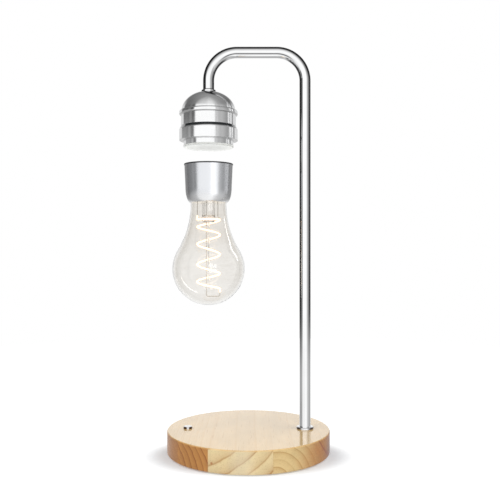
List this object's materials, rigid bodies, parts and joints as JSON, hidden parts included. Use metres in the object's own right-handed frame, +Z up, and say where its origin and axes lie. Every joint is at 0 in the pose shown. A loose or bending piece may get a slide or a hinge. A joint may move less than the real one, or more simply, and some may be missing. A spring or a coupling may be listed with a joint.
{
  "type": "levitating bulb desk lamp",
  "caption": "Desk lamp with a round wooden base and a bent chrome arm; its magnetic head holds a clear filament bulb floating in the air below it, and a small button on the base switches it.",
  "frame": {"origin": "on the table, under the middle of the round base", "axes": "+Z up, +X towards the pole, +Y towards the power inlet at the back"},
  "size_m": [0.16, 0.16, 0.4],
  "materials": {
    "varnished_wood": "clear gloss varnish over glued staves",
    "cover_black": "fine moulded grain",
    "screw_steel": "zinc plated",
    "pad_rubber": "matt",
    "ballast_steel": "grey paint",
    "circuit_board": "solder mask",
    "component_black": "moulded",
    "lead_red": "wire insulation",
    "cable_white": "cable sheath",
    "bush_grey": "moulded",
    "spring_steel": "bright wire",
    "button_chrome": "polished",
    "moulding_white": "moulded",
    "arm_chrome": "polished",
    "nut_steel": "zinc plated",
    "head_metal": "turned and polished to a mirror",
    "end_ivory": "moulded",
    "winding_copper": "enamelled wire",
    "ferrite_grey": "sintered",
    "core_iron": "turned",
    "magnet_nickel": "nickel plated",
    "disc_black": "moulded",
    "cap_satin": "satin, bead blasted",
    "bulb_glass": "clear",
    "stem_glass": "clear",
    "filament_glow": "glowing phosphor",
    "lead_nickel": "nickel wire"
  },
  "bodies": {
    "stand": {"wood_base": "varnished_wood", "base_cover": "cover_black", "cover_screws": "screw_steel", "ballast_screws": "screw_steel", "board_screws": "screw_steel", "driver_screws": "screw_steel", "foot_pads": "pad_rubber", "ballast_plate": "ballast_steel", "control_board": "circuit_board", "switch_board": "circuit_board", "sensor_board": "circuit_board", "driver_board": "circuit_board", "control_parts": "component_black", "power_jack": "component_black", "push_switch": "component_black", "field_sensor": "component_black", "driver_parts": "component_black", "coil_bobbin": "component_black", "switch_lead": "lead_red", "arm_cable": "cable_white", "button_bush": "bush_grey", "button_spring": "spring_steel", "board_spacers": "moulding_white", "arm_tube": "arm_chrome", "pole_ferrule": "arm_chrome", "head_collar": "arm_chrome", "pole_washer": "nut_steel", "pole_nut": "nut_steel", "head_nut": "nut_steel", "dome_cover": "head_metal", "head_sleeve": "head_metal", "lower_ring": "head_metal", "bottom_cup": "head_metal", "end_cover": "end_ivory", "transmitter_coil": "winding_copper", "lifting_coil": "winding_copper", "ferrite_disc": "ferrite_grey", "coil_core": "core_iron", "bias_magnet": "magnet_nickel"},
    "button": {"button_cap": "button_chrome", "switch_plunger": "moulding_white"},
    "magnet": {"bulb_magnet": "magnet_nickel"},
    "bulb": {"magnet_cover": "disc_black", "receiver_coil": "winding_copper", "magnet_holder": "moulding_white", "receiver_board": "circuit_board", "receiver_parts": "component_black", "bulb_cap": "cap_satin", "neck_insert": "moulding_white", "glass_bulb": "bulb_glass", "bulb_stem": "stem_glass", "stem_rod": "stem_glass", "filament": "filament_glow", "filament_leads": "lead_nickel", "board_leads": "lead_nickel"}
  },
  "joints": [
    {"name": "button_press", "type": "slide", "parent": "stand", "child": "button", "axis": [0, 0, -1], "range_m": [0, 0.0008], "stiffness_N_per_m": 400, "springref_m": -0.002, "deforming": ["button_spring"]},
    {"name": "bulb_lift", "type": "slide", "parent": "stand", "child": "magnet", "axis": [0, 0, 1], "range_m": [-0.1, 0.015], "stiffness_N_per_m": 60, "springref_m": 0.02184},
    {"name": "bulb_spin", "type": "hinge", "parent": "magnet", "child": "bulb", "pos_m": [-0.0395, 0, 0.2], "axis": [0, 0, 1], "continuous": true}
  ]
}
